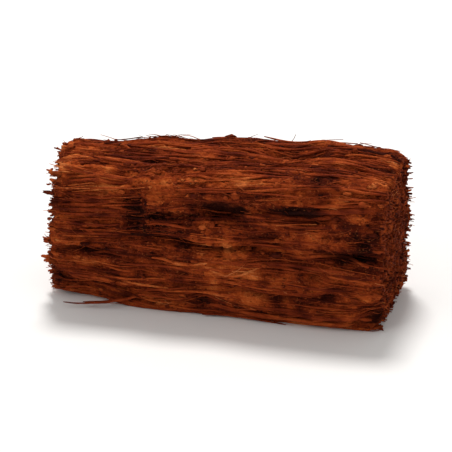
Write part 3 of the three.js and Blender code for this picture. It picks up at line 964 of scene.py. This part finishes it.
def side_fibre(bundle, x0, x1, way0, slope, thick, lift, generator, sides=8, cell=0.3, tone=0.5, peel=(0.0, 0.0), wander=0.07, kink=0.012, sink=0.25):
    length = abs(x1 - x0)
    n = max(6, int(length / cell))
    t = np.linspace(0, 1, n)
    x = x0 + (x1 - x0) * t
    way = way0 + slope * (x - (x0 + x1) / 2) + smooth_walk(n, wander, 2 + int(length / 4), generator) + smooth_walk(n, kink, 2 + int(length / 0.9), generator)
    out = lift + smooth_walk(n, 0.03, 2 + int(length / 2.2), generator)
    # the ends dive into the pith, or peel away from it
    dive0, dive1 = np.exp(-t * length / 0.8), np.exp(-(1 - t) * length / 0.8)
    up0, up1 = np.maximum(0, 1 - t * length / 2.4) ** 2, np.maximum(0, 1 - (1 - t) * length / 2.4) ** 2
    out = out + up0 * peel[0] + up1 * peel[1] - (dive0 * sink if peel[0] <= 0 else 0) - (dive1 * sink if peel[1] <= 0 else 0)
    p = place(x, way, out)
    radius = thick / 2 * (1 + smooth_walk(n, 0.12, 2 + int(length / 0.8), generator)) * (1 - 0.55 * dive0 - 0.55 * dive1)
    # painted shade: darker where the fibre lies in a cleft or sinks below the surface
    recess_shade = np.clip(step(0.16, 0.75, cleft_at(p[:, 0], p[:, 1], p[:, 2])) * generator.uniform(0.45, 1.0) + np.clip(-out - 0.12, 0, 0.3) * 1.6, 0, 1)
    bundle.tube(p, np.maximum(radius, 0.02), sides, tone, recess_shade=recess_shade, seed=int(generator.integers(1e6)), ridge=0.2, twist=generator.normal(0, 0.8))


def lean_at(x, way):
    p = place(np.array([x]), np.array([way]), 0.0)[0]
    return float(outward(angle_of(np.array(way)))[0]) * float(rise(p[2]))


def inside(a, b, way):
    """The run from a to b, kept to just past the two cuts."""
    p = place(np.array([-10.8, 10.8]), np.array([way, way]), 0.0)
    return max(a, end_x(-1, p[0, 1], p[0, 2]) - 0.05), min(b, end_x(1, p[1, 1], p[1, 2]) + 0.05)


bed = [Bundle(), Bundle()]
pitch = 0.36
rows = int(AROUND / pitch)
for row in range(rows):
    way0 = (row + 0.5) * pitch
    angle = float(angle_of(np.array(way0)))
    x = -LENGTH / 2 - rng.uniform(0, 5)
    while x < LENGTH / 2:
        length = rng.uniform(2.5, 12.0)
        gap = rng.uniform(-0.6, 2.4)
        a, b = x, x + length
        x = b + gap
        here = np.array([(max(a, -11) + min(b, 11)) / 2])
        cover = float(pith_cover(here, np.array([way0]))[0])
        if rng.random() < 0.15 + 0.6 * cover:
            continue
        yz = place(here, np.array([way0]), 0.0)[0]
        lean = float(outward(np.array(angle))[0]) * float(rise(yz[2]))
        a_cut, b_cut = a < -LENGTH / 2, b > LENGTH / 2
        if a_cut:
            a = end_x(-1, yz[1], yz[2]) - rng.uniform(-0.12, 0.12)
        if b_cut:
            b = end_x(1, yz[1], yz[2]) + rng.uniform(-0.12, 0.12)
        if b - a < 1.0:
            continue
        thick = float(np.clip(rng.lognormal(-1.48, 0.28), 0.13, 0.4))
        lift = -0.09 - 0.04 * cover + rng.normal(0, 0.035)
        peel = [0.0, 0.0]
        if not a_cut and rng.random() < 0.12:
            peel[0] = rng.uniform(0.03, 0.22) * (thick < 0.2)
        if not b_cut and rng.random() < 0.12:
            peel[1] = rng.uniform(0.03, 0.22) * (thick < 0.2)
        tone = float(np.clip(rng.normal(0.5, 0.13), 0, 1))
        target = bed[0] if (math.sin(angle) > 0.35 or math.cos(angle) < -0.5) else bed[1]
        side_fibre(target, a, b, way0 + rng.normal(0, 0.09), lean + rng.normal(0, 0.009), thick, lift, rng, tone=tone, peel=peel)

# ---- fibres that lie on top of the others, some crossing them at a slant ----
loose = Bundle()
for k in range(150):
    way0 = rng.uniform(0, AROUND)
    length = rng.uniform(1.5, 6.0)
    c = rng.uniform(-9.5, 9.5)
    a, b = inside(c - length / 2, c + length / 2, way0)
    slope = (rng.normal(0, 0.03) if rng.random() < 0.85 else rng.normal(0, 0.14)) + lean_at(c, way0)
    thick = rng.uniform(0.1, 0.24)
    lift = rng.uniform(-0.06, 0.03)
    peel = [rng.uniform(0.03, 0.2) if rng.random() < 0.35 else 0.0 for _ in (0, 1)]
    tone = float(np.clip(rng.normal(0.58, 0.15), 0, 1))
    side_fibre(loose, a, b, way0, slope, thick, lift, rng, sides=7, cell=0.26, tone=tone, peel=peel, wander=0.12)

# ---- thin strands, nearly parallel, all over the sides ----
strands = Bundle()
for k in range(1250):
    way0 = rng.uniform(0, AROUND)
    length = float(np.clip(rng.lognormal(0.95, 0.5), 0.9, 7.0))
    c = rng.uniform(-10.4, 10.4)
    a, b = inside(c - length / 2, c + length / 2, way0)
    if b - a < 0.8:
        continue
    thick = float(np.clip(rng.lognormal(-2.45, 0.3), 0.05, 0.15))
    lift = rng.uniform(-0.09, 0.03)
    peel = [rng.uniform(0.02, 0.16) if rng.random() < 0.25 else 0.0 for _ in (0, 1)]
    side_fibre(strands, a, b, way0, rng.normal(0, 0.028) + lean_at((a + b) / 2, way0), thick, lift, rng, sides=5, cell=0.36, tone=float(np.clip(rng.normal(0.56, 0.15), 0, 1)), peel=peel, wander=0.05, kink=0.014, sink=0.12)


def spline(points, n):
    """A smooth line through a few points."""
    P = np.asarray(points, float)
    P = np.vstack([2 * P[0] - P[1], P, 2 * P[-1] - P[-2]])
    m = len(P) - 3
    t = np.linspace(0, m - 1e-9, n)
    i = t.astype(int)
    u = (t - i)[:, None]
    p0, p1, p2, p3 = P[i], P[i + 1], P[i + 2], P[i + 3]
    return 0.5 * (2 * p1 + (p2 - p0) * u + (2 * p0 - 5 * p1 + 4 * p2 - p3) * u**2 + (3 * p1 - p0 - 3 * p2 + p3) * u**3)


for (path, thick), many in zip(SPLINTERS, (6, 5, 3, 3, 5)):
    base = spline(path, 34)
    t = np.linspace(0, 1, 34)
    for k in range(many):
        turn = k * 2.4 + 0.4
        spread = thick * rng.uniform(0.1, 0.34) * (1 + 0.5 * t**2)
        off = np.stack([0 * t, spread * np.cos(turn) + smooth_walk(34, 0.03, 6, rng), spread * np.sin(turn) + smooth_walk(34, 0.03, 6, rng)], -1)
        first, last = int(rng.integers(0, 8)), 34 - int(rng.integers(0, 12))
        r = rng.uniform(0.04, 0.085) * (1 + smooth_walk(34, 0.16, 12, rng)) * (1 - 0.6 * t**2)
        loose.tube((base + off)[first:last], r[first:last], 7, float(np.clip(rng.normal(0.56, 0.13), 0, 1)), recess_shade=0, seed=k, ridge=0.3, twist=0.6)


# ---------------------------------------------------------------- fibre ends on the two cuts
stubs = Bundle()


def end_fibre(sign, y, z, thick, out, lean_y, lean_z, tone, generator, sides=8, bent=0.2):
    x_cut = end_x(sign, y, z)
    rooted = 0.6
    n = 8
    t = np.linspace(-rooted, out, n)
    past = np.maximum(0, t) / max(out, 0.05)
    swing = bent * out * past**2
    dy, dz = generator.normal(0, 1), generator.normal(0, 1)
    p = np.stack(
        [x_cut + sign * t, y + lean_y * np.maximum(t, 0) + swing * dy, z + lean_z * np.maximum(t, 0) + swing * dz], -1
    )
    r = thick / 2 * (1 + smooth_walk(n, 0.1, 5, generator)) * (1 - 0.3 * past**2)
    # painted shade on the part of the fibre rooted behind the cut
    stubs.tube(p, r, sides, tone, recess_shade=np.where(t < -0.05, 0.5, 0.0), flat=generator.uniform(0.55, 1.0), seed=int(generator.integers(1e6)), ridge=0.55, blunt=(0.3, generator.uniform(-0.5, 0.1)), streaked=False)


spots = {-1: [], 1: []}
for sign, y, z, thick, out, ly, lz in STUBS:
    spots[sign].append((y, z))
    end_fibre(sign, y, z, thick * 0.5, out * (0.42 if sign < 0 else 0.75), ly, lz, float(np.clip(rng.normal(0.55, 0.15), 0, 1)), rng)
    for _ in range(4):
        end_fibre(sign, y + rng.normal(0, 0.17), z + rng.normal(0, 0.17), thick * rng.uniform(0.25, 0.45), out * rng.uniform(0.15, 0.85 if sign > 0 else 0.7), ly + rng.normal(0, 0.25), lz + rng.normal(0, 0.25), float(np.clip(rng.normal(0.7, 0.15), 0, 1)), rng, sides=6)
for sign in (-1, 1):
    tries = 0
    while len(spots[sign]) < 360 and tries < 12000:
        tries += 1
        y, z = rng.uniform(-3.9, 3.9), rng.uniform(0.3, 10.0)
        x = sign * (LENGTH / 2 - 0.1)
        angle = math.atan2(z - float(middle(np.array(x))), y)
        r = math.hypot(y, z - float(middle(np.array(x))))
        rim = float(side_radius(np.array(x), np.array(angle)))
        if r > rim - 0.2:
            continue
        if min((y - a) ** 2 + (z - b) ** 2 for a, b in spots[sign]) < 0.24**2:
            continue
        spots[sign].append((y, z))
        edge = step(0.6, 1.0, r / rim)
        clump = float(step(-0.3, 0.5, noise2(y / 1.3 + 20, z / 1.3 + 20, 1000, 37 + sign)))
        out = rng.uniform(-0.08, 0.01) + rng.exponential(0.07 if sign < 0 else 0.05) * (0.3 + edge) * (0.25 + clump)
        thick = float(np.clip(rng.lognormal(-1.8, 0.36), 0.08, 0.34))
        lean = 0.25 * edge
        end_fibre(sign, y, z, thick, min(out, 0.5), lean * math.cos(angle) + rng.normal(0, 0.06), lean * math.sin(angle) + rng.normal(0, 0.06), float(np.clip(rng.normal(0.46, 0.16), 0, 1)), rng, sides=7)


# ---------------------------------------------------------------- fine fuzz
fuzz = Bundle()


def hair(p, direction, out, length, thick, tone, generator):
    n = max(5, int(length / 0.22))
    t = np.linspace(0, 1, n)
    direction = direction / np.linalg.norm(direction)
    out = out / (np.linalg.norm(out) + 1e-9)
    side = np.cross(direction, out)
    curl = generator.normal(0, 0.25)
    path = (
        p
        - out * 0.05
        + direction[None] * (length * t)[:, None]
        + out[None] * (length * generator.uniform(0.02, 0.14) * np.sin(math.pi * np.minimum(t * generator.uniform(0.7, 1.15), 1)))[:, None]
        + side[None] * (length * curl * t**2)[:, None]
        + side[None] * smooth_walk(n, 0.03 * length, 4, generator)[:, None]
    )
    fuzz.tube(path, thick / 2 * (1 - 0.5 * t), 4, tone, seed=1, blunt=(0, 1))


for k in range(900):
    x = rng.uniform(-10.9, 10.9)
    way0 = rng.uniform(0, AROUND)
    angle = float(angle_of(np.array(way0)))
    p = place(np.array([x]), np.array([way0]), rng.uniform(-0.08, 0.05), soft=False)[0]
    if p[2] < FLOOR + 0.15:
        continue
    oy, oz = outward(np.array(angle))
    o = np.array([0, float(oy), float(oz)])
    s = 1 if rng.random() < 0.5 else -1
    along = np.array([s, 0, 0.0])
    tang = np.cross(np.array([1, 0, 0.0]), o)
    direction = along + tang * rng.normal(0, 0.22) + o * rng.uniform(0.0, 0.16)
    length = float(np.clip(rng.lognormal(-0.35, 0.45), 0.25, 1.6))
    # keep inside the ends
    if abs(x + s * length) > 11.1:
        s = -s
        direction[0] = -direction[0]
    hair(p, direction, o, length, rng.uniform(0.03, 0.065), float(np.clip(rng.normal(0.5, 0.22), 0, 1)), rng)
for sign in (-1, 1):
    for k in range(130):
        y, z = spots[sign][int(rng.integers(len(spots[sign])))]
        y, z = y + rng.normal(0, 0.15), z + rng.normal(0, 0.15)
        if z < 1.0:
            continue
        p = np.array([end_x(sign, y, z) - sign * 0.1, y, z])
        o = np.array([sign, rng.normal(0, 0.5), rng.normal(0, 0.5)])
        hair(p, o, np.array([0, rng.normal(), rng.normal()]), rng.uniform(0.15, 0.5), rng.uniform(0.03, 0.065), float(np.clip(rng.normal(0.5, 0.22), 0, 1)), rng)

# ---------------------------------------------------------------- crumbs of pith that still cling
crumbs = Bundle()


def ico(levels):
    t = (1 + 5**0.5) / 2
    v = [(-1, t, 0), (1, t, 0), (-1, -t, 0), (1, -t, 0), (0, -1, t), (0, 1, t), (0, -1, -t), (0, 1, -t), (t, 0, -1), (t, 0, 1), (-t, 0, -1), (-t, 0, 1)]
    f = [(0, 11, 5), (0, 5, 1), (0, 1, 7), (0, 7, 10), (0, 10, 11), (1, 5, 9), (5, 11, 4), (11, 10, 2), (10, 7, 6), (7, 1, 8), (3, 9, 4), (3, 4, 2), (3, 2, 6), (3, 6, 8), (3, 8, 9), (4, 9, 5), (2, 4, 11), (6, 2, 10), (8, 6, 7), (9, 8, 1)]
    v = [np.array(p) / np.linalg.norm(p) for p in v]
    for _ in range(levels):
        mids, out = {}, []
        def mid(a, b):
            key = (min(a, b), max(a, b))
            if key not in mids:
                m = v[a] + v[b]
                v.append(m / np.linalg.norm(m))
                mids[key] = len(v) - 1
            return mids[key]
        for a, b, c in f:
            ab, bc, ca = mid(a, b), mid(b, c), mid(c, a)
            out += [(a, ab, ca), (b, bc, ab), (c, ca, bc), (ab, bc, ca)]
        f = out
    return np.array(v), np.array(f)


ball_v, ball_f = ico(1)
for k in range(4600):
    x = rng.uniform(-10.8, 10.8)
    way0 = rng.uniform(0, AROUND)
    cover = float(pith_cover(np.array([x]), np.array([way0]))[0])
    if rng.random() > 0.3 + 0.7 * cover:
        continue
    size = float(np.clip(rng.lognormal(-2.45, 0.42), 0.035, 0.2))
    p = place(np.array([x]), np.array([way0]), -0.12 + 0.04 * rng.normal() + 0.15 * size, soft=False)[0]
    scale = size * np.array([rng.uniform(0.9, 2.0), rng.uniform(0.6, 1.1), rng.uniform(0.6, 1.1)])
    shape = ball_v * (1 + 0.5 * noise3(ball_v * 1.3 + rng.uniform(0, 50, 3), 7)[:, None] + 0.55 * noise3(ball_v * 4.6 + rng.uniform(0, 50, 3), 8)[:, None])
    v = shape * scale + p
    if v[:, 2].min() < FLOOR:
        continue
    # painted shade on crumbs that lie in the clefts
    crumbs.lump(v, ball_f, float(np.clip(rng.normal(0.5, 0.2) + 0.24 * tone_and_shade_at(p[None])[0], -0.2, 1.2)), float(np.clip(step(0.3, 1.0, cleft_at(p[0], p[1], p[2])), 0, 1)))

for bundle, name, mat in (
    (bed[0], "husk_fibres_front", fibre_mat),
    (bed[1], "husk_fibres_back", fibre_mat),
    (loose, "husk_fibres_loose", fibre_mat),
    (strands, "husk_strands", fibre_mat),
    (stubs, "husk_fibre_ends", fibre_mat),
    (fuzz, "husk_fuzz", fuzz_mat),
    (crumbs, "husk_crumbs", crumb_mat),
):
    ob = bundle.build(name)
    ob.data.materials.append(mat)
    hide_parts("husk_chip")

for ob in [o for o in scene.objects if o.type == "MESH" and o.name.startswith("husk_") and "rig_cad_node" not in o]:
    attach(ob, "root")
    tris = sum(len(p.vertices) - 2 for p in ob.data.polygons) if len(ob.data.polygons) < 400000 else -1
    print("PIECE", ob.name, tris, "triangles")
